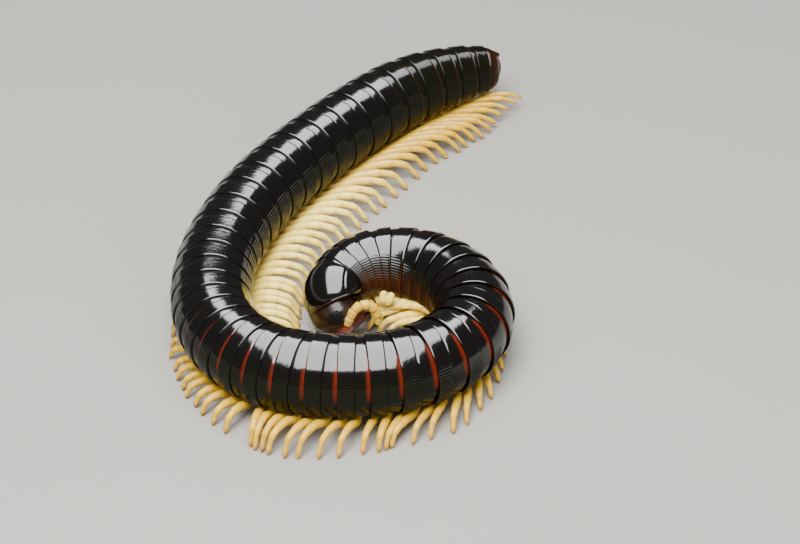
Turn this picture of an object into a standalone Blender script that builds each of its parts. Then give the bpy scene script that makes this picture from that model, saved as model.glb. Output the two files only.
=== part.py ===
"""A large black millipede with cream legs, life size, resting in a loose spiral.

Metres, +Z up. The origin is on the floor under the middle of the whole body.
The body is laid out from the neck backwards along a chain of level arcs, one for
each length of the trunk. The collum and the head bend on down from the neck.
"""

import math
import random

import bmesh
import bpy
from mathutils import Vector

MM = 0.001

# Driving dimensions of the body
BODY_RADIUS = 5.5 * MM
AXIS_HEIGHT = 6.82 * MM
GAP = 0.3 * MM
MERGE = 0.002 * MM
NECK_PLACE = Vector((-2.525, -15.967, 0)) * MM
NECK_HEADING = 66.0
NECK_RADIUS_SHARE = 0.77
NECK_TAPER_RINGS = 3.5
NECK_DROP = 0.8 * MM
NECK_DROP_RINGS = 5.0
TAIL_TAPER_START = 40.0
TAIL_TAPER_RINGS = 4.0
TAIL_TAPER_SHARE = 0.245
TAIL_TAPER_POWER = 1.6
FRONT_ROLL = 45.0
ROLL_END_RING = 15.0

# Each length of the trunk: its rings, its turn in degrees and the length of one ring in mm
LENGTHS = (
    ("trunk_01", 2, 30.1, 2.14),
    ("trunk_02", 2, 37.2, 2.43),
    ("trunk_03", 2, 29.9, 2.80),
    ("trunk_04", 2, 28.8, 2.96),
    ("trunk_05", 2, 31.0, 3.12),
    ("trunk_06", 2, 34.3, 3.25),
    ("trunk_07", 3, 38.2, 3.61),
    ("trunk_08", 4, 36.4, 3.42),
    ("trunk_09", 3, 33.7, 2.97),
    ("trunk_10", 3, 28.5, 2.87),
    ("trunk_11", 4, 20.3, 3.40),
    ("trunk_12", 5, 19.8, 4.13),
    ("trunk_13", 5, 9.1, 4.37),
    ("trunk_14", 2, 13.0, 4.72),
    ("trunk_15", 2, 14.0, 3.70),
    ("tail_ring", 1, 7.0, 2.80),
    ("telson", 1, 4.0, 1.85),
)

# One ring: share of its length and share of the body radius at its front, seam and rear edge
RING_PROFILE = ((0.03, 0.935), (0.42, 0.965), (0.97, 1.0))
SIDES = 22
BELLY_START = 125.0
BELLY_FLAT = 0.12

# Legs: thickness along the leg, and where its root leaves the belly
LEG_ROOT_ANGLE = 157.0
LEG_SUNK = 0.9 * MM
LEG_WIDTHS = (1.0 * MM, 0.95 * MM, 0.85 * MM, 0.72 * MM, 0.5 * MM)
LEG_STEPS = (0.0, 0.18, 0.5, 0.82, 1.0)
LEG_SWEEP_STEPS = (0.0, 0.07, 0.42, 0.82, 1.0)
LEG_SIDES = 4
LEG_HIP_DROP = 1.15 * MM
LEG_KNEE_RISE = 0.75 * MM
LEG_ANKLE_SHARE = 0.76
FIRST_DOUBLE_RING = 5
FIRST_DOUBLE_INNER_RING = 17
LAST_LEG_RING = 43.75
REACH_JITTER = 0.2 * MM
SEED = 7

# How far a foot stands out from the midline, in mm by ring
LEFT_REACH = (
    (2, 5.2), (5, 5.8), (9, 5.4), (13, 4.8), (20, 5.2), (23, 9.0), (25, 11.6), (36, 11.7),
    (37.5, 10.4), (39.5, 9.7), (41, 8.4), (42, 6.0), (43, 3.6), (43.75, 2.0),
)
RIGHT_REACH = (
    (2, 5.0), (5, 6.2), (8, 4.6), (11.5, 4.4), (13.5, 7.0), (16, 7.2), (18.5, 9.2), (20, 8.9),
    (22, 7.2), (26, 5.8), (29, 5.2), (34, 9.0), (38, 9.6), (40.5, 8.8), (42, 6.4), (43, 4.4), (43.75, 3.2),
)

# How far a foot stands behind its root, in rings by ring
LEFT_SWEEP = (
    (2, 0.0), (17, -0.6), (22, -0.9), (26, -0.8), (30, 0.2), (34, 1.1), (36, 1.4),
    (37.5, 2.1), (39.5, 2.6), (41, 3.0), (42, 3.5), (43, 4.3), (43.75, 4.4),
)
RIGHT_SWEEP = (
    (2, 0.0), (8, 0.0), (11, 0.4), (13, 1.0), (15.3, 1.2), (16.4, 0.5), (18, 0.8), (19.4, 0.5), (20.8, -0.4),
    (21.4, 0.1), (24.5, 0.1), (26, 0.6), (31, 0.5), (36, 1.2), (39, 1.8), (41, 2.2), (43.75, 2.5),
)

# How far the trailing feet of the tail hang over the floor, in mm by ring, and how their hips are lowered
FOOT_LIFT = ((39, 0.0), (41, 0.5), (43.75, 2.2))
TAIL_HIP_DROP = 0.9 * MM
TAIL_HIP_START = 41.0

# Collum: the shield behind the head, a wedge that turns towards the belly
COLLUM_LENGTH = 2.8 * MM
COLLUM_BEND = 66.0
COLLUM_BELLY = 1.6 * MM
COLLUM_SIDES = 24

# Head capsule, with the face to the front and the mouth at its end
HEAD_LENGTH = 4.2 * MM
HEAD_BEND = 12.0
HEAD_ROLL = 18.0
HEAD_SHIFT = 0.7 * MM
HEAD_WIDTH = 3.3 * MM
HEAD_DEPTH = 3.5 * MM
HEAD_BELLY = 1.5 * MM
HEAD_SIDES = 24
HEAD_STATIONS = (0.06, 0.2, 0.36, 0.52, 0.68, 0.82, 0.93, 1.0)

# Eyes: a patch on each side of the head, set in a shallow pocket
EYE_ANGLE = 56.0
EYE_STATION = 0.42
EYE_HALF_ANGLE = 15.0
EYE_HALF_STATION = 0.14
EYE_PROUD = 0.12 * MM
EYE_THICK = 0.5 * MM

# Antennae: a chain of bead-like joints
LEFT_ANTENNA_ANGLE = 68.0
RIGHT_ANTENNA_ANGLE = -42.0
LEFT_ANTENNA_STATION = 0.76
RIGHT_ANTENNA_STATION = 0.68
ANTENNA_RADII = (0.55 * MM, 0.52 * MM, 0.5 * MM, 0.5 * MM, 0.5 * MM, 0.48 * MM, 0.42 * MM)
ANTENNA_JOINT = 1.12 * MM
ANTENNA_SIDES = 8
LEFT_ANTENNA_AIMS = (
    (0.4, 0.1, 0.9), (0.4, 0.3, 0.85), (0.75, 0.4, 0.5), (1.0, 0.3, 0.0),
    (0.9, 0.2, -0.45), (0.5, 0.0, -0.85), (0.2, -0.1, -0.97),
)
RIGHT_ANTENNA_AIMS = (
    (-0.6, -0.8, 0.0), (-0.2, -1.0, 0.2), (0.1, -1.0, 0.2), (0.4, -0.9, 0.2),
    (0.7, -0.6, 0.1), (0.9, -0.3, 0.0), (1.0, 0.0, -0.1),
)

COLOURS = {
    "shell": (0.012, 0.012, 0.011, 1.0),
    "head": (0.045, 0.018, 0.010, 1.0),
    "eye": (0.006, 0.006, 0.007, 1.0),
    "antenna": (0.72, 0.42, 0.20, 1.0),
    "telson": (0.10, 0.045, 0.022, 1.0),
}


def clear_scene():
    for obj in list(bpy.data.objects):
        bpy.data.objects.remove(obj, do_unlink=True)


def smooth(low, high, value):
    share = min(max((value - low) / (high - low), 0.0), 1.0)
    return share * share * (3 - 2 * share)


def finish(name):
    material = bpy.data.materials.new(name)
    material.use_nodes = True
    shader = material.node_tree.nodes["Principled BSDF"]
    shader.inputs["Base Color"].default_value = COLOURS[name]
    shader.inputs["Roughness"].default_value = 0.25
    shader.inputs["Metallic"].default_value = 0.0
    material.diffuse_color = COLOURS[name]
    return material


class Frame:
    """A place on the body's axis with its tailward, left and dorsal directions."""

    def __init__(self, place, tailward, left, dorsal):
        self.place = place
        self.tailward = tailward
        self.left = left
        self.dorsal = dorsal

    def point(self, angle, radius):
        """A point round the axis: angle 0 is dorsal and 90 is the animal's left."""
        turn = math.radians(angle)
        return self.place + radius * (math.cos(turn) * self.dorsal + math.sin(turn) * self.left)


def girth(ring):
    """The body radius at a ring coordinate: narrower at the neck and at the tail."""
    share = 1 - (1 - NECK_RADIUS_SHARE) * math.exp(-(ring - 1) / NECK_TAPER_RINGS)
    tail = max(ring - TAIL_TAPER_START, 0.0) / TAIL_TAPER_RINGS
    return BODY_RADIUS * (share - TAIL_TAPER_SHARE * tail ** TAIL_TAPER_POWER)


def body_roll(ring):
    """How far the back leans to the animal's right, in degrees: it lies over near the neck."""
    return FRONT_ROLL * (1 - smooth(0, ROLL_END_RING, ring))


def body_frame(place, heading, ring):
    """The frame of a level stretch of the body, rolled outwards near the neck."""
    turn = math.radians(heading)
    tailward = Vector((math.cos(turn), math.sin(turn), 0))
    level_left = Vector((math.sin(turn), -math.cos(turn), 0))
    up = Vector((0, 0, 1))
    roll = math.radians(body_roll(ring))
    left = level_left * math.cos(roll) + up * math.sin(roll)
    dorsal = up * math.cos(roll) - level_left * math.sin(roll)
    drop = NECK_DROP * math.exp(-(ring - 1) / NECK_DROP_RINGS)
    return Frame(place + Vector((0, 0, AXIS_HEIGHT - drop)), tailward, left, dorsal)


def lay_out():
    """Walks down the trunk and returns a function from ring coordinate to frame."""
    stops = []
    place, heading, ring = NECK_PLACE.copy(), NECK_HEADING, 1.0
    for _, rings, turn, pitch in LENGTHS:
        stops.append((ring, place.copy(), heading, turn / rings, pitch * MM))
        rate = math.radians(turn / rings)
        radius = pitch * MM / rate
        start = math.radians(heading)
        end = start - rate * rings
        place += radius * Vector((math.sin(start) - math.sin(end), math.cos(end) - math.cos(start), 0))
        heading -= turn
        ring += rings

    def at(coordinate):
        stop = [s for s in stops if s[0] <= coordinate][-1] if coordinate >= 1 else stops[0]
        first, origin, first_heading, rate, pitch = stop
        rings = coordinate - first
        radius = pitch / math.radians(rate)
        start = math.radians(first_heading)
        end = start - math.radians(rate) * rings
        along = radius * Vector((math.sin(start) - math.sin(end), math.cos(end) - math.cos(start), 0))
        return body_frame(origin + along, first_heading - rate * rings, coordinate)

    return at


def section(frame, radius, sides, belly=BELLY_FLAT):
    """The points of one cross-section, flattened along the belly."""
    points = []
    for index in range(sides):
        angle = 360 * index / sides - 180
        flat = 1 - belly * smooth(BELLY_START, 180, abs(angle))
        points.append(frame.point(angle, radius * flat))
    return points


def loft(name, sections, material, start_cap=None, end_cap=None):
    """A closed skin over the sections, each cap a fan to its centre or a given point."""
    mesh = bmesh.new()
    rows = [[mesh.verts.new(p) for p in points] for points in sections]
    count = len(rows[0])
    for front, back in zip(rows, rows[1:]):
        for i in range(count):
            j = (i + 1) % count
            mesh.faces.new((front[i], front[j], back[j], back[i]))
    for row, cap in ((rows[0], start_cap), (rows[-1], end_cap)):
        centre = cap if cap else sum((v.co for v in row), Vector()) / count
        tip = mesh.verts.new(centre)
        for i in range(count):
            mesh.faces.new((row[i], row[(i + 1) % count], tip))
    bmesh.ops.recalc_face_normals(mesh, faces=mesh.faces)
    bmesh.ops.triangulate(mesh, faces=mesh.faces)
    data = bpy.data.meshes.new(name)
    mesh.to_mesh(data)
    mesh.free()
    if material:
        data.materials.append(material)
    obj = bpy.data.objects.new(name, data)
    bpy.context.scene.collection.objects.link(obj)
    return obj


def between(knots, value):
    """The value on straight lines between knots, held beyond the first and the last."""
    if value <= knots[0][0]:
        return knots[0][1]
    for (low, first), (high, last) in zip(knots, knots[1:]):
        if value <= high:
            return first + (last - first) * (value - low) / (high - low)
    return knots[-1][1]


def leg(name, at, ring, side, draw):
    """One leg from inside the belly out to a small flat foot: side +1 is the animal's left."""
    reach, sweep = (LEFT_REACH, LEFT_SWEEP) if side > 0 else (RIGHT_REACH, RIGHT_SWEEP)
    frame = at(ring)
    stand = at(ring + between(sweep, ring))
    angle = LEG_ROOT_ANGLE if side > 0 else LEG_ROOT_ANGLE - body_roll(ring)
    radius = girth(ring) * (1 - BELLY_FLAT * smooth(BELLY_START, 180, angle))
    root = frame.point(side * angle, radius - LEG_SUNK)
    out = Vector((side * stand.tailward.y, -side * stand.tailward.x, 0))
    foot = stand.place + out * (between(reach, ring) * MM + draw.uniform(-1, 1) * REACH_JITTER)
    foot.z = between(FOOT_LIFT, ring) * MM
    tail = smooth(TAIL_HIP_START, LAST_LEG_RING, ring)
    hip = root.z - LEG_HIP_DROP - TAIL_HIP_DROP * tail
    knee = hip + LEG_KNEE_RISE * max(smooth(5, 9, between(reach, ring)), tail)
    ankle = foot.z + (knee - foot.z) * LEG_ANKLE_SHARE
    swept = stand.tailward * (foot - root).dot(stand.tailward)
    outward = foot - root - swept
    places = []
    for step, sweep_step, height in zip(LEG_STEPS, LEG_SWEEP_STEPS, (root.z, hip, knee, ankle, foot.z)):
        place = root + outward * step + swept * sweep_step
        place.z = height
        places.append(place)
    level = foot - root
    level.z = 0
    across = Vector((level.y, -level.x, 0)).normalized()
    sections = []
    for index, (place, width) in enumerate(zip(places, LEG_WIDTHS)):
        along = (places[min(index + 1, 4)] - places[max(index - 1, 0)]).normalized()
        if index == 4:
            along = Vector((0, 0, -1))
        lift = along.cross(across)
        ring_points = []
        for corner in range(LEG_SIDES):
            turn = 2 * math.pi * (corner + 0.5) / LEG_SIDES
            ring_points.append(place + width * 0.6 * (math.cos(turn) * across + math.sin(turn) * lift))
        sections.append(ring_points)
    return loft(name, sections, None)


def join(body, pieces):
    """Fuses the pieces into the body and keeps its largest closed surface."""
    group = bpy.data.collections.new(body.name + "_pieces")
    bpy.context.scene.collection.children.link(group)
    for piece in pieces:
        bpy.context.scene.collection.objects.unlink(piece)
        group.objects.link(piece)
    union = body.modifiers.new("legs", "BOOLEAN")
    union.operation = "UNION"
    union.operand_type = "COLLECTION"
    union.collection = group
    union.solver = "EXACT"
    bpy.context.view_layer.update()
    joined = bpy.data.meshes.new_from_object(body.evaluated_get(bpy.context.evaluated_depsgraph_get()))
    body.modifiers.clear()
    body.data = joined
    for piece in pieces:
        bpy.data.objects.remove(piece, do_unlink=True)
    bpy.data.collections.remove(group)
    keep_largest(body)


def keep_largest(body):
    mesh = bmesh.new()
    mesh.from_mesh(body.data)
    bmesh.ops.remove_doubles(mesh, verts=mesh.verts, dist=MERGE)
    bmesh.ops.dissolve_degenerate(mesh, edges=mesh.edges, dist=MERGE)
    bmesh.ops.triangulate(mesh, faces=mesh.faces)
    left = set(mesh.verts)
    shells = []
    while left:
        stack = [left.pop()]
        shell = set(stack)
        while stack:
            for edge in stack.pop().link_edges:
                for vert in edge.verts:
                    if vert in left:
                        left.remove(vert)
                        shell.add(vert)
                        stack.append(vert)
        shells.append(shell)
    shells.sort(key=len)
    scraps = [vert for shell in shells[:-1] for vert in shell]
    bmesh.ops.delete(mesh, geom=scraps, context="VERTS")
    mesh.to_mesh(body.data)
    mesh.free()


def trunk_length(name, at, first, rings, material, draw):
    sections = []
    for ring in range(rings):
        for share, width in RING_PROFILE:
            place = first + ring + share
            sections.append(section(at(place), girth(place) * width, SIDES))
    half_gap = 0.5 * GAP
    pitch = (at(first + 0.5).place - at(first).place).length / 0.5
    front, back = first + half_gap / pitch, first + rings - half_gap / pitch
    sections[0] = section(at(front), girth(front) * RING_PROFILE[0][1], SIDES)
    sections[-1] = section(at(back), girth(back), SIDES)
    body = loft(name, sections, material)
    pieces = []
    for ring in range(rings):
        number = first + ring + 1
        for side, first_double in ((1, FIRST_DOUBLE_INNER_RING), (-1, FIRST_DOUBLE_RING)):
            for share in (0.3, 0.74) if number >= first_double else (0.5,):
                if first + ring + share < LAST_LEG_RING:
                    pieces.append(leg("leg", at, first + ring + share, side, draw))
    if pieces:
        join(body, pieces)
    return body


def front_frame(neck, length, bend, share):
    """A frame on an arc that bends towards the belly, measured forwards from a frame."""
    turn = math.radians(bend) * share
    forward = -neck.tailward
    radius = length / math.radians(bend)
    place = neck.place + radius * (math.sin(turn) * forward - (1 - math.cos(turn)) * neck.dorsal)
    heading = forward * math.cos(turn) - neck.dorsal * math.sin(turn)
    dorsal = neck.dorsal * math.cos(turn) + forward * math.sin(turn)
    return Frame(place, -heading, neck.left, dorsal)


def shield_section(frame, width, depth, belly, sides):
    """A round section cut off flat at a depth below the axis."""
    points = []
    for index in range(sides):
        turn = 2 * math.pi * index / sides - math.pi
        up = max(depth * math.cos(turn), -belly)
        across = width * math.sin(turn)
        points.append(frame.place + frame.dorsal * up + frame.left * across)
    return points


def collum(at, material):
    """The large smooth shield behind the head."""
    neck = at(1.0)
    radius = girth(1.0)
    shares = ((0.05, 0.96), (0.28, 0.99), (0.52, 0.98), (0.76, 0.95), (1.0, 0.88))
    sections = []
    for share, size in shares:
        frame = front_frame(neck, COLLUM_LENGTH, COLLUM_BEND, share)
        sections.append(shield_section(frame, radius * size, radius * size, COLLUM_BELLY, COLLUM_SIDES))
    return loft("collum", sections, material)


def head_frame(at, share):
    """The head's own frame: it follows the collum, rolled a little further and set to one side."""
    neck = front_frame(at(1.0), COLLUM_LENGTH, COLLUM_BEND, 1.0)
    turn = math.radians(HEAD_ROLL)
    left = neck.left * math.cos(turn) + neck.dorsal * math.sin(turn)
    dorsal = neck.dorsal * math.cos(turn) - neck.left * math.sin(turn)
    rolled = Frame(neck.place - neck.left * HEAD_SHIFT, neck.tailward, left, dorsal)
    return front_frame(rolled, HEAD_LENGTH, HEAD_BEND, share)


def head_point(at, share, angle, lift=0.0):
    """A point on the head capsule, or lifted off it: share 0 is the collum and 1 the mouth."""
    frame = head_frame(at, share)
    turn = math.radians(angle)
    fall = smooth(0.25, 1.25, share)
    width = HEAD_WIDTH * (1 - 0.42 * fall) * (1 + 0.05 * math.exp(-((share - 0.6) / 0.2) ** 2))
    depth = HEAD_DEPTH * (1 - 0.62 * fall)
    up = depth * math.cos(turn)
    if up < 0:
        up = max(up, -HEAD_BELLY)
    across = width * math.sin(turn)
    out = Vector((0, 0, 0)) + frame.dorsal * up + frame.left * across
    return frame.place + out + out.normalized() * lift


def patch(name, at, side, low, high, grow):
    """A slab that follows the head's surface over the eye's field."""
    mesh = bmesh.new()
    rows, columns = 5, 5
    edge_share = grow / HEAD_LENGTH
    edge_angle = math.degrees(grow / HEAD_WIDTH)
    layers = []
    for lift in (low, high):
        grid = []
        for row in range(rows):
            share = EYE_STATION + (2 * row / (rows - 1) - 1) * (EYE_HALF_STATION + edge_share)
            line = []
            for column in range(columns):
                angle = EYE_ANGLE + (2 * column / (columns - 1) - 1) * (EYE_HALF_ANGLE + edge_angle)
                line.append(mesh.verts.new(head_point(at, share, side * angle, lift)))
            grid.append(line)
        layers.append(grid)
    for grid in layers:
        for row in range(rows - 1):
            for column in range(columns - 1):
                mesh.faces.new((grid[row][column], grid[row][column + 1],
                                grid[row + 1][column + 1], grid[row + 1][column]))
    rim = [(0, c) for c in range(columns)] + [(r, columns - 1) for r in range(1, rows)]
    rim += [(rows - 1, c) for c in range(columns - 2, -1, -1)] + [(r, 0) for r in range(rows - 2, 0, -1)]
    for here, after in zip(rim, rim[1:] + rim[:1]):
        mesh.faces.new((layers[0][here[0]][here[1]], layers[0][after[0]][after[1]],
                        layers[1][after[0]][after[1]], layers[1][here[0]][here[1]]))
    bmesh.ops.recalc_face_normals(mesh, faces=mesh.faces)
    data = bpy.data.meshes.new(name)
    mesh.to_mesh(data)
    mesh.free()
    obj = bpy.data.objects.new(name, data)
    bpy.context.scene.collection.objects.link(obj)
    return obj


def head(at, material, eye_material):
    sections = []
    for share in HEAD_STATIONS:
        points = [head_point(at, share, 360 * i / HEAD_SIDES - 180) for i in range(HEAD_SIDES)]
        sections.append(points)
    capsule = loft("head", sections, material)
    for side, name in ((1, "eye_left"), (-1, "eye_right")):
        pocket = patch("pocket", at, side, EYE_PROUD - EYE_THICK - GAP, 1.5 * MM, GAP)
        cut = capsule.modifiers.new("pocket", "BOOLEAN")
        cut.operation = "DIFFERENCE"
        cut.object = pocket
        cut.solver = "EXACT"
        bpy.context.view_layer.update()
        graph = bpy.context.evaluated_depsgraph_get()
        cut_mesh = bpy.data.meshes.new_from_object(capsule.evaluated_get(graph))
        capsule.modifiers.clear()
        capsule.data = cut_mesh
        bpy.data.objects.remove(pocket, do_unlink=True)
        eye = patch(name, at, side, EYE_PROUD - EYE_THICK, EYE_PROUD, 0.0)
        eye.data.materials.append(eye_material)
    keep_largest(capsule)
    return capsule


def antenna(name, at, station, angle, aims, material):
    """Bead-like joints from the side of the head, each along its own aim."""
    place = head_point(at, station, angle, GAP)
    dorsal = head_frame(at, station).dorsal
    sections = []
    for radius, aim in zip(ANTENNA_RADII, aims):
        aim = Vector(aim).normalized()
        across = aim.cross(dorsal).normalized()
        lift = across.cross(aim)
        for share, width in ((0.06, 0.72), (0.4, 0.92), (0.8, 1.0), (0.97, 0.8)):
            middle = place + aim * (ANTENNA_JOINT * share)
            ring_points = []
            for index in range(ANTENNA_SIDES):
                turn = 2 * math.pi * index / ANTENNA_SIDES
                out = math.cos(turn) * across + math.sin(turn) * lift
                ring_points.append(middle + radius * width * out)
            sections.append(ring_points)
        place = place + aim * ANTENNA_JOINT
    return loft(name, sections, material)


def telson(name, at, first, material):
    """The last ring, drawn in to a blunt end."""
    shares = ((0.12, 0.93), (0.4, 0.95), (0.75, 0.88), (0.93, 0.72), (1.0, 0.5))
    sections = []
    for share, size in shares:
        sections.append(section(at(first + share), girth(first + share) * size, SIDES))
    return loft(name, sections, material)


def main():
    clear_scene()
    draw = random.Random(SEED)
    shell = finish("shell")
    head_finish = finish("head")
    telson_finish = finish("telson")
    eye_finish = finish("eye")
    antenna_finish = finish("antenna")
    at = lay_out()
    first = 1
    for name, rings, _, _ in LENGTHS:
        if name == "telson":
            telson(name, at, first, telson_finish)
        else:
            trunk_length(name, at, first, rings, shell, draw)
        first += rings
    collum(at, shell)
    head(at, head_finish, eye_finish)
    antenna("antenna_left", at, LEFT_ANTENNA_STATION, LEFT_ANTENNA_ANGLE, LEFT_ANTENNA_AIMS, antenna_finish)
    antenna("antenna_right", at, RIGHT_ANTENNA_STATION, RIGHT_ANTENNA_ANGLE, RIGHT_ANTENNA_AIMS, antenna_finish)


main()
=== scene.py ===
"""Looks of a large black millipede with cream legs, life size, resting in a loose spiral.

Metres, +Z up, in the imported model's frame. Each piece is modelled straight and then
bent to its place on the body's line, which is worked out from the same sizes as the solids.
"""

import math
import random

import bpy
import numpy as np
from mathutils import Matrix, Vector


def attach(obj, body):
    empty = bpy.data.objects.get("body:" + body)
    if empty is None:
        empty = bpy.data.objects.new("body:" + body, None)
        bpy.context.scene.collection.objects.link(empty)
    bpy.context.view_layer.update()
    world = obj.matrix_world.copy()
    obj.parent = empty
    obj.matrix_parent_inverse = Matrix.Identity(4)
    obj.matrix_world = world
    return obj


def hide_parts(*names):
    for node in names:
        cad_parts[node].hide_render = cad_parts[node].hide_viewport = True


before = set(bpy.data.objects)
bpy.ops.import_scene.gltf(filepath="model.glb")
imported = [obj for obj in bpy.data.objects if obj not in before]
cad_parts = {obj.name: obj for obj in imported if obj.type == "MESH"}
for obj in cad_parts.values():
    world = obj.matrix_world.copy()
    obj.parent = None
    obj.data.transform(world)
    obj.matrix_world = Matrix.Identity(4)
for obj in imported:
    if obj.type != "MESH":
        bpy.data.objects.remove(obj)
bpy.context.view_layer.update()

MM = 0.001
UP = np.array((0.0, 0.0, 1.0))
SIDES = (("left", 1), ("right", -1))

# The body's line and girth, as in the solids
BODY_RADIUS = 5.5 * MM
AXIS_HEIGHT = 6.82 * MM
NECK_PLACE = np.array((-2.525, -15.967, 0.0)) * MM
NECK_HEADING = 66.0
NECK_RADIUS_SHARE = 0.77
NECK_TAPER_RINGS = 3.5
NECK_DROP = 0.8 * MM
NECK_DROP_RINGS = 5.0
TAIL_TAPER_START = 40.0
TAIL_TAPER_RINGS = 4.0
TAIL_TAPER_SHARE = 0.245
TAIL_TAPER_POWER = 1.6
FRONT_ROLL = 45.0
ROLL_END_RING = 15.0

# Each length of the trunk: its rings, its turn in degrees and the length of one ring in mm
TRUNK = (
    (2, 30.1, 2.14), (2, 37.2, 2.43), (2, 29.9, 2.8), (2, 28.8, 2.96), (2, 31.0, 3.12),
    (2, 34.3, 3.25), (3, 38.2, 3.61), (4, 36.4, 3.42), (3, 33.7, 2.97), (3, 28.5, 2.87),
    (4, 20.3, 3.4), (5, 19.8, 4.13), (5, 9.1, 4.37), (2, 13.0, 4.72), (2, 14.0, 3.7),
)
LENGTHS = [("trunk_%02d" % number, *length) for number, length in enumerate(TRUNK, 1)]
LENGTHS += [("tail_ring", 1, 7.0, 2.8), ("telson", 1, 4.0, 1.85)]

# One ring, from where it slides into the ring before to the recess under its own rear edge:
# share of its length, share of the body radius
RING_PROFILE = (
    (-0.13, 0.86), (-0.06, 0.905), (0.0, 0.934), (0.02, 0.94), (0.12, 0.943), (0.21, 0.946), (0.3, 0.949),
    (0.345, 0.948), (0.36, 0.941), (0.368, 0.957), (0.378, 0.972), (0.388, 0.98), (0.399, 0.9832),
    (0.415, 0.9845), (0.46, 0.9855), (0.55, 0.9875), (0.65, 0.99), (0.75, 0.993), (0.85, 0.996),
    (0.93, 0.999), (0.975, 1.0), (0.992, 0.996), (1.0, 0.984), (1.0, 0.967), (0.985, 0.954), (0.93, 0.93),
)
SEAM_SHARE = 0.36
# Where the seam may lie on a ring, however tight the bend, as shares of the ring
SEAM_LIMITS = (0.03, 0.72)
SHORTEST_LOCAL = 0.2
# How much more of each ring the ring before it covers inside the coil, and the rings where that ends
FRONT_COVER_GAIN = 0.3
FRONT_COVER_END = (7, 11)
RING_MODEL_LENGTH = 3.4 * MM
RING_SWELL = 0.004
RING_COLUMNS = 288
RING_COLUMN_TURNS = (0.0, 20.0, 152.5, 180.0)
RING_COLUMN_ANGLES = (0.0, 60.0, 150.0, 180.0)
BELLY_START = 125.0
BELLY_FLAT = 0.12
# Fine furrows along the flank of each rear half-ring: spacing in degrees, depth, and where they end below
STRIA_SPACING = 4.2
STRIA_DEPTH = 0.11 * MM
STRIA_END = (142, 149)
# The rings where the inner coil, with its deeper furrows and brown flank, passes into the outer body
COIL_END = (13, 17)
NECK_RIM_END = (14, 18)
# The rings whose soft red front edge shows on the outside of the bend, and those that turn dull at the tail
RED_EDGE_START = (8, 12)
RED_EDGE_END = (23, 27)
DULL_TAIL_START = (39.5, 42)

# Legs, as in the solids, with every pair of the real animal
LEG_ROOT_ANGLE = 157.0
LEG_SUNK = 0.9 * MM
LEG_STEPS = (0.0, 0.18, 0.5, 0.82, 1.0)
LEG_SWEEP_STEPS = (0.0, 0.07, 0.42, 0.82, 1.0)
LEG_HIP_DROP = 1.15 * MM
LEG_KNEE_RISE = 0.75 * MM
LEG_ANKLE_SHARE = 0.76
# Legs that reach far out, in mm, rise at the knee, and those outside the coil arch over it
KNEE_RISE_SPREAD = (5, 9)
ARCH_SPREAD = (7, 10)
ARCHED_ANKLE_SHARE = 0.86
FIRST_DOUBLE_RING = 5
LAST_LEG_RING = 43.75
REACH_JITTER = 0.2 * MM
LEG_ARCH = 0.5 * MM
FOLDED_SWEEP = ((4.9, -2.3), (5.3, -2.7), (6.3, -3.6), (7.3, -4.3), (8.3, -4.8), (9.3, -5.0), (9.9, -5.0))
FOLDED_STEP = 0.3 * MM
FOLDED_KNEE_RISE = 0.4 * MM
# Where the left feet stand that reach across the coil towards the mouth, in mm by ring
INNER_FEET = {
    5.74: (2.2, -17.0),
    6.74: (1.5, -18.4),
    7.74: (2.9, -18.9),
    8.74: (4.2, -18.9),
    9.74: (5.7, -18.6),
}
FRONT_FOOT_LIFT = ((1, 1.7), (2.6, 1.4), (4, 0.6), (10, 0.6), (11, 0.0))
# Left legs drawn up against the flank, by ring: the angle of the end, and how far each knot leans, in
# rings; then how far each knot lies off the flank, in mm, and the leg's width along its length
RAISED_LEGS = {
    3.5: (129.0, (0.0, 0.1, 0.1, 0.0, -0.1)),
    4.74: (126.0, (0.0, -0.5, -0.5, 0.1, 0.6)),
}
RAISED_LIFTS = (-0.4, 0.1, 1.0, 1.3, 1.0)
RAISED_SHAPE = ((0.0, 1.0), (0.3, 1.1), (0.55, 1.3), (0.8, 2.1), (0.9, 2.0), (0.95, 1.6), (0.972, 1.2))
LEG_MODEL_LENGTH = 10.0 * MM
LEG_MODEL_END = 0.972
LEG_SIDES = 8
TAIL_LEG_STOUTNESS = 0.14
# How far the pattern moves on from one leg to the next, so that no two are alike
PATTERN_STEP = 3 * MM
SINGLE_LEG_SHARES = (0.5,)
DOUBLE_LEG_SHARES = (0.3, 0.74)
SEED = 7

# How far a foot stands out from the midline, in mm by ring
LEFT_REACH = (
    (2, 5.2), (5, 5.8), (9, 5.4), (13, 4.8), (20, 5.2), (23, 9.0), (25, 11.6), (36, 11.7),
    (37.5, 10.4), (39.5, 9.7), (41, 8.4), (42, 6.0), (43, 3.6), (43.75, 2.0),
)
RIGHT_REACH = (
    (2, 5.0), (5, 6.2), (8, 4.6), (11.5, 4.4), (13.5, 7.0), (16, 7.2), (18.5, 9.2), (20, 8.9),
    (22, 7.2), (26, 5.8), (29, 5.2), (34, 9.0), (38, 9.6), (40.5, 8.8), (42, 6.4), (43, 4.4), (43.75, 3.2),
)

# How far a foot stands behind its root, in rings by ring
LEFT_SWEEP = (
    (2, 0.0), (3.2, -0.6), (4.9, -1.9), (6.3, -2.4), (8.4, -2.9), (9.8, -2.3), (12, -1.2), (17, -0.6),
    (22, -0.9), (26, -0.8), (30, 0.2), (34, 1.1), (36, 1.4), (37.5, 2.1), (39.5, 2.6), (41, 3.0),
    (42, 3.5), (43, 4.3), (43.75, 4.4),
)
RIGHT_SWEEP = (
    (2, 0.0), (8, 0.0), (11, 0.4), (13, 1.0), (15.3, 1.2), (16.4, 0.5), (18, 0.8), (19.4, 0.5), (20.8, -0.4),
    (21.4, 0.1), (24.5, 0.1), (26, 0.6), (31, 0.5), (36, 1.2), (39, 1.8), (41, 2.2), (43.75, 2.5),
)

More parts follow.
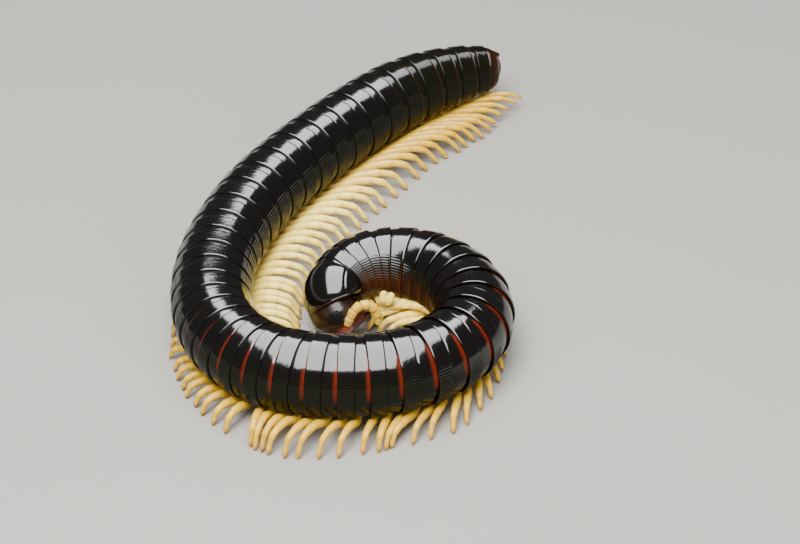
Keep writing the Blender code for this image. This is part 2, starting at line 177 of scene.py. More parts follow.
# How far the trailing feet of the tail hang over the floor, in mm by ring, and how their hips are lowered
FOOT_LIFT = ((39, 0.0), (41, 0.5), (43.75, 2.2))
TAIL_HIP_DROP = 0.9 * MM
TAIL_HIP_START = 41.0

# In mm, the radius of the hip, and for each joint from there to the claw where it ends, as a share of the
# leg, and its widest radius
HIP_RADIUS = 0.4
LEG_JOINTS = ((0.1, 0.54), (0.3, 0.62), (0.48, 0.61), (0.62, 0.55), (0.78, 0.47), (0.95, 0.35))
LEG_JOINT_PROFILE = ((0.1, 0.95), (0.6, 1.0), (0.97, 0.91))
CLAW_PROFILE = ((0.0, 1.0), (0.5, 0.7), (1.0, 0.12))
CLAW_LENGTH = 0.55 * MM
CLAW_RADIUS = 0.15 * MM

# Collum and head, as in the solids
COLLUM_LENGTH = 2.8 * MM
COLLUM_BEND = 66.0
COLLUM_BELLY = 1.6 * MM
COLLUM_COLUMNS = 240
COLLUM_PROFILE = (
    (0.09, 0.88), (0.045, 0.935), (0.03, 0.955), (0.04, 0.968), (0.06, 0.974), (0.1, 0.979),
    (0.17, 0.985), (0.28, 0.99), (0.4, 0.991), (0.52, 0.987), (0.62, 0.981), (0.72, 0.972),
    (0.8, 0.961), (0.87, 0.946), (0.92, 0.928), (0.945, 0.912), (0.955, 0.902), (0.965, 0.905),
    (0.98, 0.902), (0.995, 0.891), (1.0, 0.875), (0.99, 0.85), (0.96, 0.8),
)
# Furrows on the side lobes of the collum: angle in degrees and share of the full depth
COLLUM_FURROWS = ((70.0, 1.0), (80.0, 0.3), (88.0, 0.3))
COLLUM_FURROW_DEPTH = 0.07 * MM
COLLUM_FURROW_BOW = 14
HEAD_LENGTH = 4.2 * MM
HEAD_BEND = 12.0
HEAD_ROLL = 18.0
HEAD_SHIFT = 0.7 * MM
HEAD_WIDTH = 3.3 * MM
HEAD_DEPTH = 3.5 * MM
HEAD_BELLY = 1.5 * MM
HEAD_NARROWING = 0.42
HEAD_FLATTENING = 0.62
# Where the capsule starts inside the collum, how long it is and where it rounds off, as shares of the head
HEAD_START = -0.1
HEAD_SPAN = 1.115
HEAD_END_START = 0.82
HEAD_END_LENGTH = 0.2
HEAD_COLUMNS = 96
HEAD_STATIONS = 40
EYE_ANGLE = 56.0
EYE_STATION = 0.42
EYE_HALF_ANGLE = 18.0
EYE_HALF_STATION = 0.19
EYE_PROUD = 0.13 * MM
OCELLUS_RADIUS = 0.18 * MM
OCELLUS_ROWS = 5
OCELLUS_COLUMNS = 7
# Mouthparts: share of the head, angle and half width in degrees, and height in mm
MOUTHPARTS = (
    ("mandible_left", 0.77, 116.0, 42.0, 1.05),
    ("mandible_right", 0.74, -108.0, 34.0, 0.42),
    ("gnathochilarium", 0.8, 160.0, 30.0, 2.5),
)
MOUTHPART_HALF_STATION = 0.2

# Antennae: the angle and the share of the head where each grows, the way that each joint points, and
# the widest radius of each joint in mm
ANTENNAE = (
    ("left", 68.0, 0.76, (
        (0.4, 0.1, 0.9), (0.4, 0.3, 0.85), (0.75, 0.4, 0.5), (0.95, 0.25, -0.1),
        (0.75, 0.1, -0.65), (0.35, -0.1, -0.93), (0.1, -0.1, -0.99),
    )),
    ("right", -42.0, 0.68, (
        (-0.6, -0.8, 0.0), (-0.2, -1.0, 0.2), (0.1, -1.0, 0.2), (0.4, -0.9, 0.2),
        (0.7, -0.6, 0.1), (0.9, -0.3, 0.0), (1.0, 0.0, -0.1),
    )),
)
ANTENNA_RADII = (0.62, 0.65, 0.68, 0.7, 0.71, 0.68, 0.52)
ANTENNA_JOINT = 1.12 * MM
ANTENNA_SUNK = 0.25 * MM
ANTENNA_OVERLAP = 1.08
ANTENNA_JOINT_PROFILE = (
    (-0.04, 0.55), (0.0, 0.78), (0.08, 0.86), (0.3, 0.91), (0.6, 0.97), (0.84, 1.0), (0.95, 0.96),
    (1.0, 0.86), (1.03, 0.6),
)

# Telson, from its front edge to the recess inside its rear edge, and half of the slit between the valves
TELSON_PROFILE = (
    (0.0, 0.86), (0.06, 0.925), (0.14, 0.945), (0.3, 0.955), (0.5, 0.945), (0.68, 0.915), (0.82, 0.87),
    (0.92, 0.81), (0.97, 0.76), (0.96, 0.71), (0.9, 0.66),
)
TELSON_COLUMNS = 96
VALVE_HALF_SLIT = 0.012

# Camera and light
CAMERA_PLACE = (0.005975, -0.278937, 0.19825)
CAMERA_AIM = (0.005975, -0.013567, 0.00682)
CAMERA_LENS = 109.7
CAMERA_SENSOR = 36.0
CAMERA_NEAR = 0.01
# Softboxes: place, the point aimed at, width and depth, power in watts, and whether each lights or reflects
SOFTBOXES = (
    ("overhead_reflection", (0.022, 0.03, 0.42), (0.022, 0.03, 0.0), (0.415, 0.78), 17.0, "reflects"),
    ("overhead_key", (-0.04, -0.15, 0.32), (0.0, 0.0, 0.0), (0.2, 0.2), 3.6, "lights"),
    ("overhead_fill", (0.0, 0.12, 0.5), (0.0, 0.0, 0.0), (0.95, 0.95), 2.2, "lights"),
    ("left_fill", (-0.5, -0.6, 0.5), (0.0, 0.0, 0.0), (0.6, 0.4), 2.5, "lights"),
    ("right_fill", (0.5, -0.45, 0.35), (0.0, 0.0, 0.0), (0.5, 0.4), 3.0, "lights"),
)
SKY_COLOUR = (0.9, 0.93, 1.0, 1.0)
SKY_STRENGTH = 0.1
FLOOR_SIZE = 4.0

# Sockets of a colour mix node, which has several with one name
MIX_FACTOR, MIX_FIRST, MIX_SECOND = 0, 6, 7
MIX_RESULT = 2


def aimed_object(name, data, place, aim):
    """A camera or light in the scene that looks from a place towards a point."""
    thing = bpy.data.objects.new(name, data)
    bpy.context.scene.collection.objects.link(thing)
    thing.location = place
    thing.rotation_euler = (Vector(aim) - Vector(place)).to_track_quat("-Z", "Y").to_euler()
    return thing


def set_camera():
    """The camera, where the photograph was taken from."""
    data = bpy.data.cameras.new("camera")
    data.lens = CAMERA_LENS
    data.sensor_width = CAMERA_SENSOR
    data.clip_start = CAMERA_NEAR
    bpy.context.scene.camera = aimed_object("camera", data, CAMERA_PLACE, CAMERA_AIM)


def add_softbox(name, place, aim, size, power, use):
    """A rectangular softbox that the camera doesn't see."""
    data = bpy.data.lights.new(name, "AREA")
    data.shape = "RECTANGLE"
    data.size, data.size_y = size
    data.energy = power
    light = aimed_object(name, data, place, aim)
    light.visible_camera = False
    light.visible_diffuse = use == "lights"
    light.visible_glossy = use == "reflects"


def set_lights():
    """One large softbox overhead, which the shell reflects, and soft light from above and the sides."""
    for softbox in SOFTBOXES:
        add_softbox(*softbox)
    world = bpy.data.worlds.new("studio")
    bpy.context.scene.world = world
    world.use_nodes = True
    background = world.node_tree.nodes["Background"]
    background.inputs["Color"].default_value = SKY_COLOUR
    background.inputs["Strength"].default_value = SKY_STRENGTH


def linear(hex_text):
    """A linear RGBA colour from an sRGB hex value."""
    parts = [int(hex_text[i:i + 2], 16) / 255 for i in (1, 3, 5)]
    return tuple(c / 12.92 if c <= 0.04045 else ((c + 0.055) / 1.055) ** 2.4 for c in parts) + (1.0,)


def add_node(tree, kind, settings=None, links=None):
    """Adds a node, sets its inputs or properties by name and links its inputs to sockets."""
    node = tree.nodes.new(kind)
    for key, value in (settings or {}).items():
        if isinstance(key, int) or key in node.inputs:
            node.inputs[key].default_value = value
        else:
            setattr(node, key, value)
    for key, socket in (links or {}).items():
        tree.links.new(socket, node.inputs[key])
    return node


def new_finish(name):
    """A new material, with its node tree and its shader."""
    material = bpy.data.materials.new(name)
    material.use_nodes = True
    tree = material.node_tree
    return material, tree, tree.nodes["Principled BSDF"]


def surface_marks(tree):
    """Sockets of each point's place on a straight animal, in mm, and of the four shares of its marks."""
    straight = add_node(tree, "ShaderNodeAttribute", {"attribute_name": "straight"})
    marks = add_node(tree, "ShaderNodeAttribute", {"attribute_name": "marks"})
    parts = add_node(tree, "ShaderNodeSeparateColor", {}, {"Color": marks.outputs["Color"]})
    shares = [parts.outputs[name] for name in ("Red", "Green", "Blue")] + [marks.outputs["Alpha"]]
    return straight.outputs["Vector"], shares


def noise(tree, place, scale, detail, roughness=0.5):
    """Cloudy noise, its scale in lumps per unit of the place, which is mm on marked surfaces."""
    settings = {"Scale": scale, "Detail": detail, "Roughness": roughness}
    return add_node(tree, "ShaderNodeTexNoise", settings, {"Vector": place}).outputs["Fac"]


def mapped(tree, value, settings):
    """A value moved from one range to another."""
    return add_node(tree, "ShaderNodeMapRange", settings, {"Value": value}).outputs["Result"]


def tinted(tree, base_hex, *tints):
    """A base colour, mixed towards each hex value in turn by the share that goes with it."""
    links = {}
    for share, tint_hex in tints:
        settings = {"data_type": "RGBA", MIX_FIRST: linear(base_hex), MIX_SECOND: linear(tint_hex)}
        links[MIX_FACTOR] = share
        links[MIX_FIRST] = add_node(tree, "ShaderNodeMix", settings, links).outputs[MIX_RESULT]
    return links[MIX_FIRST]


def bump(tree, height, strength, distance, normal=None):
    """The normal of a surface with relief of the given height, over another normal if there is one."""
    settings = {"Strength": strength, "Distance": distance}
    links = {"Height": height, "Normal": normal} if normal else {"Height": height}
    return add_node(tree, "ShaderNodeBump", settings, links).outputs["Normal"]


def dress(tree, shader, **values):
    """Sets the shader's inputs to values or links them to sockets; _ stands for a space in a name."""
    for name, value in values.items():
        target = shader.inputs[name.replace("_", " ")]
        if isinstance(value, bpy.types.NodeSocket):
            tree.links.new(value, target)
        else:
            target.default_value = value


def wet_black_chitin():
    """Sclerotised cuticle: nearly black, olive and pale low on the flanks, glossy as if varnished."""
    material, tree, shader = new_finish("wet_black_chitin")
    straight, (red_edge, olive_flank, pale_belly, brown_rim) = surface_marks(tree)
    # Mottling of the lower flank, in patches about 0.4 mm across
    patches = mapped(tree, noise(tree, straight, 2.6, 4.0, 0.6), {"From Min": 0.38, "From Max": 0.62})
    pale_patches = add_node(tree, "ShaderNodeMath", {"operation": "MULTIPLY"}, {0: pale_belly, 1: patches})
    colour = tinted(tree, "#0c0a09", (olive_flank, "#0f1008"), (pale_patches.outputs["Value"], "#7d7748"),
                    (red_edge, "#5f1c0c"), (brown_rim, "#4a220d"))
    # Orange-peel waviness of the glaze, about 0.45 mm across, and pitting 0.07 mm across
    peel = noise(tree, straight, 2.2, 2.0)
    pits = noise(tree, straight, 14.0, 3.0)
    wave = bump(tree, peel, 0.35, 0.03 * MM)
    grain = bump(tree, pits, 0.3, 0.008 * MM, wave)
    rough = mapped(tree, pits, {"To Min": 0.06, "To Max": 0.16})
    # The olive flank is duller than the black back
    gloss = mapped(tree, olive_flank, {"To Min": 0.5, "To Max": 0.06})
    dress(tree, shader, Base_Color=colour, Normal=grain, Coat_Normal=wave, Roughness=rough, IOR=1.5,
          Specular_IOR_Level=gloss, Coat_Weight=0.08, Coat_Roughness=0.03)
    return material


def leg_cuticle():
    """Thin, barely tanned cuticle: cream and slightly translucent, amber at the hip and at the tip, and
    painted lighter where the body shades the legs.
    """
    material, tree, shader = new_finish("cream_leg_cuticle")
    straight, (hip, tip, joint_line, painted_lightening) = surface_marks(tree)
    # Clouds of tone about 0.7 mm across, and a skin grain of 0.1 mm
    clouds = noise(tree, straight, 1.4, 3.0)
    # The fourth mark is painted light: it lightens the cream where the body shades the legs
    colour = tinted(tree, "#c49616", (clouds, "#d7b232"), (painted_lightening, "#f8dc6c"), (hip, "#b98f48"),
                    (tip, "#c8962c"), (joint_line, "#a87028"))
    skin = bump(tree, noise(tree, straight, 9.0, 3.0), 0.3, 0.01 * MM)
    dress(tree, shader, Base_Color=colour, Normal=skin, Roughness=0.4, IOR=1.4, Subsurface_Weight=0.35,
          Subsurface_Radius=(1.0, 0.6, 0.3), Subsurface_Scale=0.5 * MM)
    return material


def red_brown_chitin():
    """Head capsule: thinner, redder cuticle with the same wet gloss, lighter towards the mouth."""
    material, tree, shader = new_finish("red_brown_chitin")
    straight, (mouth, _, _, _) = surface_marks(tree)
    # Clouds of tone about 0.9 mm across, and pits of 0.14 mm
    clouds = noise(tree, straight, 1.1, 3.0)
    colour = tinted(tree, "#15100a", (clouds, "#2a170b"), (mouth, "#9a4420"))
    pits = bump(tree, noise(tree, straight, 7.0, 3.0), 0.3, 0.02 * MM)
    dress(tree, shader, Base_Color=colour, Normal=pits, Roughness=0.24, IOR=1.5, Specular_IOR_Level=0.3,
          Coat_Weight=0.1, Coat_Roughness=0.08)
    return material


def plain_cuticle(name, light_hex, dark_hex, roughness, gloss, subsurface, scale):
    """Unmarked cuticle in two close tones, in patches of a real size given per millimetre."""
    material, tree, shader = new_finish(name)
    place = add_node(tree, "ShaderNodeTexCoord").outputs["Object"]
    colour = tinted(tree, light_hex, (noise(tree, place, scale / MM, 3.0), dark_hex))
    grain = bump(tree, noise(tree, place, 6 * scale / MM, 2.0), 0.25, 0.01 * MM)
    dress(tree, shader, Base_Color=colour, Normal=grain, Roughness=roughness, IOR=1.5,
          Specular_IOR_Level=gloss, Subsurface_Weight=subsurface, Subsurface_Radius=(1.0, 0.5, 0.25),
          Subsurface_Scale=0.5 * MM)
    return material


def smooth(low, high, value):
    """A soft step: 0 up to the low value, 1 from the high one."""
    share = np.clip((np.asarray(value, float) - low) / (high - low), 0.0, 1.0)
    return share * share * (3 - 2 * share)


def hump(value, middle, spread):
    """A soft hump of height 1 round a middle value."""
    return np.exp(-((value - middle) / spread) ** 2)


def between(knots, value):
    """The value between knots of place and value."""
    return float(np.interp(value, [k[0] for k in knots], [k[1] for k in knots]))


def girth(ring):
    """The body radius at a ring coordinate: narrower at the neck and at the tail."""
    ring = np.asarray(ring, float)
    share = 1 - (1 - NECK_RADIUS_SHARE) * np.exp(-(ring - 1) / NECK_TAPER_RINGS)
    tail = np.maximum(ring - TAIL_TAPER_START, 0.0) / TAIL_TAPER_RINGS
    return BODY_RADIUS * (share - TAIL_TAPER_SHARE * tail ** TAIL_TAPER_POWER)


def body_roll(ring):
    """How far the front of the body is rolled inwards, in degrees."""
    return FRONT_ROLL * (1 - smooth(0, ROLL_END_RING, ring))


def lay_out():
    """The start of each length: ring coordinate, place, heading, turn and length of one ring."""
    stops = []
    place, heading, ring = NECK_PLACE.copy(), NECK_HEADING, 1.0
    for _, rings, turn, pitch in LENGTHS:
        stops.append((ring, place.copy(), heading, turn / rings, pitch * MM))
        rate = math.radians(turn / rings)
        start = math.radians(heading)
        end = start - rate * rings
        bow = pitch * MM / rate
        step = np.array((math.sin(start) - math.sin(end), math.cos(end) - math.cos(start), 0.0))
        place = place + bow * step
        heading -= turn
        ring += rings
    return stops


STOPS = lay_out()


class Spots:
    """Places on the body's line with their tailward, left and dorsal directions, as rows of arrays."""

    def __init__(self, place, tailward, left, dorsal):
        self.place = place
        self.tailward = tailward
        self.left = left
        self.dorsal = dorsal

    def point(self, angle, radius):
        """Points round the line: angle 0 is dorsal and 90 is the animal's left."""
        turn = np.radians(angle)[:, None]
        return self.place + radius[:, None] * (np.cos(turn) * self.dorsal + np.sin(turn) * self.left)

    def offset(self, up, across):
        """How far up and to the left comes to in the model's frame."""
        return self.dorsal * up[:, None] + self.left * across[:, None]


def at(ring):
    """The body's frames at the given ring coordinates."""
    ring = np.atleast_1d(np.asarray(ring, float))
    index = np.clip(np.searchsorted([s[0] for s in STOPS], ring, side="right") - 1, 0, len(STOPS) - 1)
    first, origin, heading, rate, pitch = (np.array(column)[index] for column in zip(*STOPS))
    start = np.radians(heading)
    turn = start - np.radians(rate) * (ring - first)
    bow = pitch / np.radians(rate)
    along = np.stack((np.sin(start) - np.sin(turn), np.cos(turn) - np.cos(start), 0 * turn), axis=1)
    along = along * bow[:, None]
    tailward = np.stack((np.cos(turn), np.sin(turn), 0 * turn), axis=1)
    level_left = np.stack((np.sin(turn), -np.cos(turn), 0 * turn), axis=1)
    roll = np.radians(body_roll(ring))[:, None]
    left = level_left * np.cos(roll) + UP * np.sin(roll)
    dorsal = UP * np.cos(roll) - level_left * np.sin(roll)
    height = AXIS_HEIGHT - NECK_DROP * np.exp(-(ring - 1) / NECK_DROP_RINGS)
    return Spots(origin + along + UP * height[:, None], tailward, left, dorsal)


def front_spots(neck, length, bend, share):
    """Frames on an arc that bends towards the belly, measured forwards from one frame."""
    share = np.atleast_1d(np.asarray(share, float))
    turn = np.radians(bend) * share[:, None]
    forward = -neck.tailward
    bow = length / math.radians(bend)
    place = neck.place + bow * (np.sin(turn) * forward - (1 - np.cos(turn)) * neck.dorsal)
    heading = forward * np.cos(turn) - neck.dorsal * np.sin(turn)
    dorsal = neck.dorsal * np.cos(turn) + forward * np.sin(turn)
    return Spots(place, -heading, np.repeat(neck.left, len(share), axis=0), dorsal)


def deselect_all():
    """Leaves edit mode and selects nothing, as the operators that follow need."""
    if bpy.context.mode != "OBJECT":
        bpy.ops.object.mode_set(mode="OBJECT")
    bpy.ops.object.select_all(action="DESELECT")


def select_only(*objects):
    """Selects these objects, the first of them as the active one."""
    deselect_all()
    for obj in objects:
        obj.select_set(True)
    bpy.context.view_layer.objects.active = objects[0]


def turned(name, profile, length, radius, sides, sharp_angle=35.0):
    """A round piece drawn out along +Z from a filled circle, by a profile in shares of length and radius."""
    stations = [(share * length, width * radius) for share, width in profile]
    deselect_all()
    first_height, first_radius = stations[0]
    bpy.ops.mesh.primitive_circle_add(vertices=sides, radius=first_radius, fill_type="TRIFAN")
    piece = bpy.context.object
    piece.name = name
    bpy.ops.object.mode_set(mode="EDIT")
    bpy.ops.transform.translate(value=(0, 0, first_height))
    for (height, size), (last_height, last_size) in zip(stations[1:], stations):
        bpy.ops.mesh.extrude_region_move(TRANSFORM_OT_translate={"value": (0, 0, height - last_height)})
        widen = size / last_size
        bpy.ops.transform.resize(value=(widen, widen, 1.0), center_override=(0, 0, height))
    bpy.ops.mesh.select_all(action="SELECT")
    bpy.ops.mesh.normals_make_consistent(inside=False)
    bpy.ops.object.mode_set(mode="OBJECT")
    bpy.ops.object.shade_smooth_by_angle(angle=math.radians(sharp_angle))
    return piece


def points_of(piece):
    """The vertices of a piece, one row each."""
    flat = np.empty(len(piece.data.vertices) * 3)
    piece.data.vertices.foreach_get("co", flat)
    return flat.reshape(-1, 3)


def bent_copy(model, name, points, finish, straight=None, marks=None):
    """A copy with its own mesh, its points moved to their places, with the finish's attributes."""
    mesh = model.data.copy()
    mesh.name = name
    mesh.vertices.foreach_set("co", np.ascontiguousarray(points, float).ravel())
    fields = (("straight", "FLOAT_VECTOR", "vector", straight), ("marks", "FLOAT_COLOR", "color", marks))
    for title, kind, key, rows in fields:
        if rows is not None:
            field = mesh.attributes.new(title, kind, "POINT")
            field.data.foreach_set(key, np.ascontiguousarray(rows, np.float32).ravel())
    mesh.materials.clear()
    mesh.materials.append(finish)
    mesh.update()
    piece = bpy.data.objects.new(name, mesh)
    bpy.context.scene.collection.objects.link(piece)
    return piece


def face_outwards(piece):
    """Turns every face of a closed piece outwards, after its points were moved."""
    select_only(piece)
    bpy.ops.object.mode_set(mode="EDIT")
    bpy.ops.mesh.select_all(action="SELECT")
    bpy.ops.mesh.normals_make_consistent(inside=False)
    bpy.ops.object.mode_set(mode="OBJECT")


def discard(*models):
    """Removes the straight models once their bent copies are made."""
    for model in models:
        bpy.data.objects.remove(model, do_unlink=True)


def mark_rows(red, green, blue, alpha):
    """The four shares of the marks, with one row for each point."""
    return np.stack(np.broadcast_arrays(red, green, blue, alpha), axis=1)


def joined(name, pieces):
    """One piece made of several."""
    select_only(*pieces)
    if len(pieces) > 1:
        bpy.ops.object.join()
    piece = bpy.context.object
    piece.name = name
    return piece


def settle(piece, slot, *nodes):
    """Ties a finished piece to the body and hides the solids that it stands for; the slot is not used."""
    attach(piece, "root")
    if nodes:
        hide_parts(*nodes)


def round_points(model):
    """Height, distance from the axis and angle of a turned piece's points: 0 is dorsal and 90 is left."""
    x, y, height = points_of(model).T
    return height, np.hypot(x, y), np.degrees(np.arctan2(x, y))


def straight_places(radius, angle, height):
    """Where points would lie on a straight animal, in mm, for patterns that don't shear in a bend."""
    turn = np.radians(angle)
    return np.stack((radius * np.sin(turn), radius * np.cos(turn), height), axis=1) / MM


def belly_share(angle):
    """The body radius flattens a little towards the belly."""
    return 1 - BELLY_FLAT * smooth(BELLY_START, 180, np.abs(angle))


def along_ring(share, first, local):
    """Places along one ring: its rear half keeps its length, so that a bend opens at the outer side."""
    cover = 1 + FRONT_COVER_GAIN * (1 - smooth(*FRONT_COVER_END, first + 1))
    seam = np.clip(1 - cover * (1 - SEAM_SHARE) / np.maximum(local, SHORTEST_LOCAL), *SEAM_LIMITS)
    rear = seam + (share - SEAM_SHARE) / (1 - SEAM_SHARE) * (1 - seam)
    front = np.where(share > 0, share * seam / SEAM_SHARE, share)
    return np.where(share > SEAM_SHARE, rear, front)


def furrow_depths(share, side, ring, phase):
    """Depth of the fine furrows on the rear half-ring, deepest and highest up inside the coil."""
    inside = 1 - smooth(*COIL_END, ring)
    strength = 0.15 + 0.85 * inside + 0.3 * smooth(24, 28, ring)
    groove = 0.5 - 0.5 * np.cos(2 * math.pi * (side + phase) / STRIA_SPACING)
    field = smooth(33 + 37 * inside, 54 + 32 * inside, side) * (1 - smooth(*STRIA_END, side))
    field = field * smooth(0.37, 0.42, share) * (1 - smooth(0.93, 0.98, share))
    return STRIA_DEPTH * strength * field * groove


def ring_marks(share, along, angle, ring, local, pitch):
    """Colour marks of one ring: red front edge, olive flank, pale belly and brown rim."""
    side = np.abs(angle)
    inside = 1 - smooth(*COIL_END, ring)
    # The soft edge that the ring before uncovers on the outside of a bend
    warm = smooth(*RED_EDGE_START, ring) * (1 - smooth(*RED_EDGE_END, ring))
    open_share = smooth(1.06, 1.17, local) * (1 - smooth(76, 106, side)) * smooth(12, 30, side) * warm
    strip = 0.37 * open_share + 0.001
    far = along * pitch * local / MM
    red = open_share * (1 - smooth(0.55, 1.0, far / strip)) * (share >= -0.01)
    olive = smooth(48 + 20 * inside, 76 + 22 * inside, side)
    olive = np.maximum(olive, 0.85 * smooth(*DULL_TAIL_START, ring))
    # Pale bars low on the inner flank, and the pale strip where the legs grow
    bar = 1 - smooth(0.2, 0.34, along) + 0.8 * smooth(0.5, 0.6, along) * (1 - smooth(0.66, 0.78, along))
    inner = (angle > 0) & (ring > 20)
    pale = np.where(inner, smooth(108, 126, side) * bar, 0.0) + 0.9 * smooth(128, 142, side)
    tail = smooth(38, 43, ring)
    neck = 1 - smooth(*NECK_RIM_END, ring)
    rim = smooth(0.965, 0.98, share) * (0.45 * tail + neck * smooth(75, 105, angle) + 0.05)
    # The inner flank of the front rings is a warm brown, most of all towards a ring's rear edge
    rim = rim + 0.5 * inside * smooth(88, 118, angle) * (0.55 + 0.45 * smooth(0.6, 0.9, share))
    return mark_rows(red, olive, np.clip(pale, 0, 1), np.clip(rim, 0, 1))


def place_ring(model, name, first, finish, draw):
    """One ring, bent to its stretch of the body."""
    height, width, column = round_points(model)
    share = height / RING_MODEL_LENGTH
    angle = np.sign(column) * np.interp(np.abs(column), RING_COLUMN_TURNS, RING_COLUMN_ANGLES)
    stop = [s for s in STOPS if s[0] <= first + 0.5][-1]
    pitch, bend = stop[4], math.radians(stop[3]) / stop[4]
    # The local length of the ring against its length on the axis: over 1 on the outside of a bend
    local = 1 - bend * BODY_RADIUS * np.sin(np.radians(angle - body_roll(first + 0.5)))
    along = along_ring(share, first, local)
    phase = draw.uniform(0, STRIA_SPACING)
    swell = 1 + draw.uniform(-RING_SWELL, RING_SWELL)
    radius = girth(first + along) * (width / BODY_RADIUS) * swell * belly_share(angle)
    radius = radius - furrow_depths(share, np.abs(angle), first + 1, phase)
    placed = at(first + along).point(angle, radius)
    straight = straight_places(radius, angle, (first + along) * RING_MODEL_LENGTH)
    marks = ring_marks(share, along, angle, first + 1, local, pitch)
    return bent_copy(model, name, placed, finish, straight, marks)


def leg_model():
    """One straight leg: six joints, each a little wider at its far end, drawn in where they meet."""
    profile = [(0.0, HIP_RADIUS)]
    start = 0.0
    for end, radius in LEG_JOINTS:
        profile += [(start + share * (end - start), radius * width) for share, width in LEG_JOINT_PROFILE]
        start = end
    profile += [(0.965, 0.62 * radius), (LEG_MODEL_END, 0.35 * radius)]
    return turned("leg_model", profile, LEG_MODEL_LENGTH, MM, LEG_SIDES, 60.0)


def leg_root(ring, side):
    """Where a leg grows, sunk into the belly. The right legs keep their place where the body rolls."""
    angle = LEG_ROOT_ANGLE if side > 0 else LEG_ROOT_ANGLE - body_roll(ring)
    radius = girth(ring) * belly_share(angle) - LEG_SUNK
    return at(ring).point(np.array([side * angle]), np.array([radius]))[0]


def leg_foot(ring, side, stand, spread, draw):
    """Where a foot stands on the floor, or hangs a little over it."""
    tailward = stand.tailward[0]
    out = np.array((side * tailward[1], -side * tailward[0], 0.0))
    foot = stand.place[0] + out * (spread * MM + draw.uniform(-1, 1) * REACH_JITTER)
    if side > 0 and round(ring, 2) in INNER_FEET:
        foot[:2] = np.array(INNER_FEET[round(ring, 2)]) * MM
    foot[2] = (between(FOOT_LIFT, ring) + (between(FRONT_FOOT_LIFT, ring) if side > 0 else 0.0)) * MM
    return foot


def leg_heights(ring, side, folded, spread, root, foot):
    """Heights of a leg's five knots: root, hip, knee, ankle and foot."""
    tail = smooth(TAIL_HIP_START, LAST_LEG_RING, ring)
    hip = root - LEG_HIP_DROP - TAIL_HIP_DROP * tail
    knee = hip + LEG_KNEE_RISE * max(smooth(*KNEE_RISE_SPREAD, spread), tail)
    if folded:
        # The legs inside the coil lie over each other towards the head, each a little over the one before
        over = FOLDED_STEP * (ring - FOLDED_SWEEP[0][0])
        return root, hip + 0.4 * over, hip + FOLDED_KNEE_RISE + over, hip + over, 0.75 * hip + over
    ankle = LEG_ANKLE_SHARE
    if side < 0 or ring > FOLDED_SWEEP[-1][0]:
        knee += LEG_ARCH * (smooth(*ARCH_SPREAD, spread) + tail)
        ankle = ARCHED_ANKLE_SHARE
    return root, hip, knee, foot + (knee - foot) * ankle, foot


def leg_line(ring, side, draw):
    """A leg's route from inside the belly to the floor, as many close points."""
    reach, sweep = (LEFT_REACH, LEFT_SWEEP) if side > 0 else (RIGHT_REACH, RIGHT_SWEEP)
    folded = side > 0 and FOLDED_SWEEP[0][0] < ring < FOLDED_SWEEP[-1][0] and ring % 1 < 0.5
    stand = at(ring + between(FOLDED_SWEEP if folded else sweep, ring))
    spread = between(reach, ring)
    root = leg_root(ring, side)
    foot = leg_foot(ring, side, stand, spread, draw)
    if side > 0 and round(ring, 2) in RAISED_LEGS:
        return smooth_route(raised_knots(round(ring, 2), root))
    tailward = stand.tailward[0]
    swept = tailward * ((foot - root) @ tailward)
    outward = foot - root - swept
    knots = np.array([root + outward * s + swept * t for s, t in zip(LEG_STEPS, LEG_SWEEP_STEPS)])
    knots[:, 2] = leg_heights(ring, side, folded, spread, root[2], foot[2])
    return smooth_route(knots)


def raised_knots(ring, root):
    """The route of a leg drawn up against the flank, which shows its blunt end."""
    top_angle, lean = RAISED_LEGS[ring]
    angles = np.array((LEG_ROOT_ANGLE, 163.0, top_angle + 24, top_angle + 11, top_angle))
    spots = at(ring + np.array(lean))
    knots = spots.point(angles, girth(ring) * belly_share(angles) + np.array(RAISED_LIFTS) * MM)
    knots[0] = root
    return knots


def run_along(points, power=1.0):
    """How far along the line through the points each of them lies."""
    steps = np.linalg.norm(np.diff(points, axis=0), axis=1) ** power
    return np.concatenate(([0.0], np.cumsum(steps)))


def resampled(wanted, places, rows):
    """Rows of numbers that lie at some places, read off at others."""
    return np.stack([np.interp(wanted, places, column) for column in rows.T], axis=1)


def unit(rows):
    """Vectors with a length of 1."""
    return rows / np.linalg.norm(rows, axis=-1, keepdims=True)


def smooth_route(knots, count=60):
    """A smooth line through the knots, as evenly spaced points."""
    steps = run_along(knots, 0.5)
    slopes = np.gradient(knots, steps, axis=0)
    t = np.linspace(0, steps[-1], count * 4)
    index = np.clip(np.searchsorted(steps, t, side="right") - 1, 0, len(knots) - 2)
    span = (steps[index + 1] - steps[index])[:, None]
    u = ((t - steps[index]) / span[:, 0])[:, None]
    route = ((2 * u ** 3 - 3 * u ** 2 + 1) * knots[index] + (u ** 3 - 2 * u ** 2 + u) * span * slopes[index]
             + (3 * u ** 2 - 2 * u ** 3) * knots[index + 1] + (u ** 3 - u ** 2) * span * slopes[index + 1])
    far = run_along(route)
    return resampled(np.linspace(0, far[-1], count), far, route)


def along_route(route, points, start, end, model_length, across):
    """Points of a straight piece, drawn out along part of a route."""
    share = start + (end - start) * points[:, 2] / model_length
    spots = np.linspace(0, 1, len(route))
    middle = resampled(share, spots, route)
    aim = unit(resampled(share, spots, np.gradient(route, axis=0)))
    side = unit(across - aim * (aim @ across)[:, None])
    lift = np.cross(aim, side)
    return middle + points[:, :1] * side + points[:, 1:2] * lift


def leg_marks(share):
    """Hip, tip and joint lines of a leg, by share of its length."""
    hip = 1 - smooth(0.12, 0.3, share)
    tip = smooth(0.86, 0.97, share)
    line = sum(hump(share, end, 0.008) for end, _ in LEG_JOINTS)
    return mark_rows(hip, 0.8 * tip, 0.5 * np.clip(line, 0, 1), 0.0)


def leg_painted_lightening(ring):
    """How much a left leg is painted lighter, to stand in for the light that the body keeps off it: most in
    the long sheet of legs and inside the coil.
    """
    in_coil = 1 - smooth(12, 16, ring)
    in_sheet = smooth(23, 26, ring) * (1 - smooth(34, 39, ring))
    return 0.75 * in_coil + in_sheet


